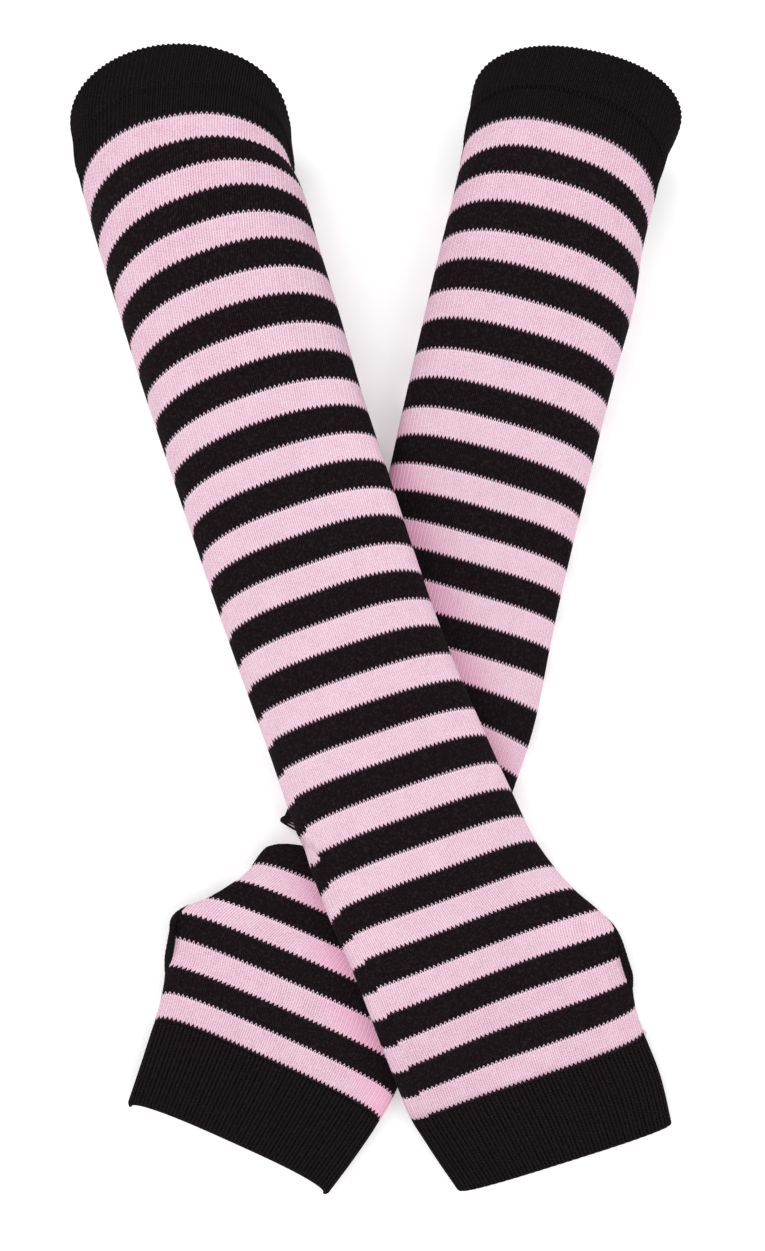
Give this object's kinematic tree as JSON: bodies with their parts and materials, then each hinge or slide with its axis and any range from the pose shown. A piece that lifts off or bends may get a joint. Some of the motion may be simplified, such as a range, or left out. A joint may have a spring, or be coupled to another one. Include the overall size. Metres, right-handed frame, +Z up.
{
  "type": "arm warmers",
  "caption": "Pair of hollow knitted arm warmers laid crossed, striped from upper arm to hand, with plain upper cuffs, ribbed hand cuffs and bound thumb slits.",
  "frame": {"origin": "centre of the pair's footprint, on the surface it rests on", "axes": "+Z up from the surface, +Y towards the upper arm cuffs, +X to the right of someone looking down with the upper arm cuffs away from them"},
  "size_m": [0.2137, 0.4089, 0.0477],
  "materials": {
    "striped_knit": "pale pink and black striped jersey knit",
    "black_knit": "black rib and jersey knit"
  },
  "bodies": {
    "root": {"over_arm_sleeve": "striped_knit", "over_hand_sleeve": "striped_knit", "over_top_cuff": "black_knit", "over_hand_cuff": "black_knit", "over_thumb_edging": "black_knit", "under_arm_sleeve": "striped_knit", "under_hand_sleeve": "striped_knit", "under_top_cuff": "black_knit", "under_hand_cuff": "black_knit", "under_thumb_edging": "black_knit"}
  },
  "joints": []
}
